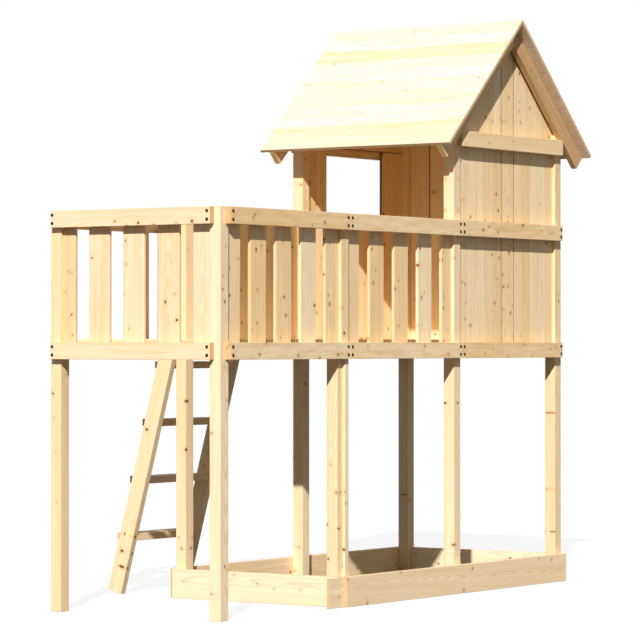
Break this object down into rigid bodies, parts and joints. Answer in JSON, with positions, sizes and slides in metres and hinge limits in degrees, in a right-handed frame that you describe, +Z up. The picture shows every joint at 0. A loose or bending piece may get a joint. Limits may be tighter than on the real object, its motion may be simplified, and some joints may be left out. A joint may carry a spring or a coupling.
{
  "type": "stilt playhouse",
  "caption": "Raised timber play platform on posts with a board railing, an open-fronted gable house, a leaning ladder and a sandbox under it.",
  "frame": {"origin": "middle of the foot of the first near post, on the ground", "axes": "+X along the platform towards the house, +Y across it away from the near side, +Z up"},
  "size_m": [3.704, 1.7318, 3.3386],
  "materials": {
    "post_pine": "planed raw pine, small dark knots",
    "rail_pine": "planed raw pine, small dark knots",
    "board_pine": "planed raw pine boards",
    "hidden_pine": "sawn raw pine",
    "roof_pine": "planed raw pine boards",
    "sandbox_pine": "planed raw pine",
    "ladder_pine": "planed raw pine"
  },
  "bodies": {
    "root": {"post_near_1": "post_pine", "post_near_2": "post_pine", "post_near_3": "post_pine", "post_near_4": "post_pine", "post_far_1": "post_pine", "post_far_2": "post_pine", "post_far_3": "post_pine", "post_far_4": "post_pine", "post_lath": "post_pine", "post_cover_strip": "post_pine", "rail_lower_near_1": "rail_pine", "rail_lower_near_2": "rail_pine", "rail_lower_near_3": "rail_pine", "rail_lower_far_1": "rail_pine", "rail_lower_far_2": "rail_pine", "rail_lower_far_3": "rail_pine", "rail_lower_left": "rail_pine", "rail_lower_right": "rail_pine", "rail_top_near_1": "rail_pine", "rail_top_near_2": "rail_pine", "rail_top_near_3": "rail_pine", "rail_top_far_1": "rail_pine", "rail_top_far_2": "rail_pine", "rail_top_far_3": "rail_pine", "rail_top_left": "rail_pine", "rail_top_right": "rail_pine", "railing_left": "board_pine", "railing_near_1": "board_pine", "railing_near_2": "board_pine", "railing_far_1": "board_pine", "railing_far_2": "board_pine", "floor_bearer_near": "hidden_pine", "floor_bearer_far": "hidden_pine", "floor_boards_1": "hidden_pine", "floor_boards_2": "hidden_pine", "floor_boards_3": "hidden_pine", "wall_near": "board_pine", "wall_far": "board_pine", "wall_back": "board_pine", "gable_boards_near": "board_pine", "gable_boards_far": "board_pine", "gable_base_near": "rail_pine", "gable_base_far": "rail_pine", "rafter_near_left": "rail_pine", "rafter_near_right": "rail_pine", "rafter_far_left": "rail_pine", "rafter_far_right": "rail_pine", "roof_boards_left": "roof_pine", "roof_boards_right": "roof_pine", "sandbox_near": "sandbox_pine", "sandbox_far": "sandbox_pine", "sandbox_left": "sandbox_pine", "sandbox_right": "sandbox_pine", "sandbox_corner_board": "sandbox_pine", "ladder_stringer_left": "ladder_pine", "ladder_stringer_right": "ladder_pine", "ladder_tread_1": "ladder_pine", "ladder_tread_2": "ladder_pine", "ladder_tread_3": "ladder_pine", "ladder_tread_4": "ladder_pine"}
  },
  "joints": []
}
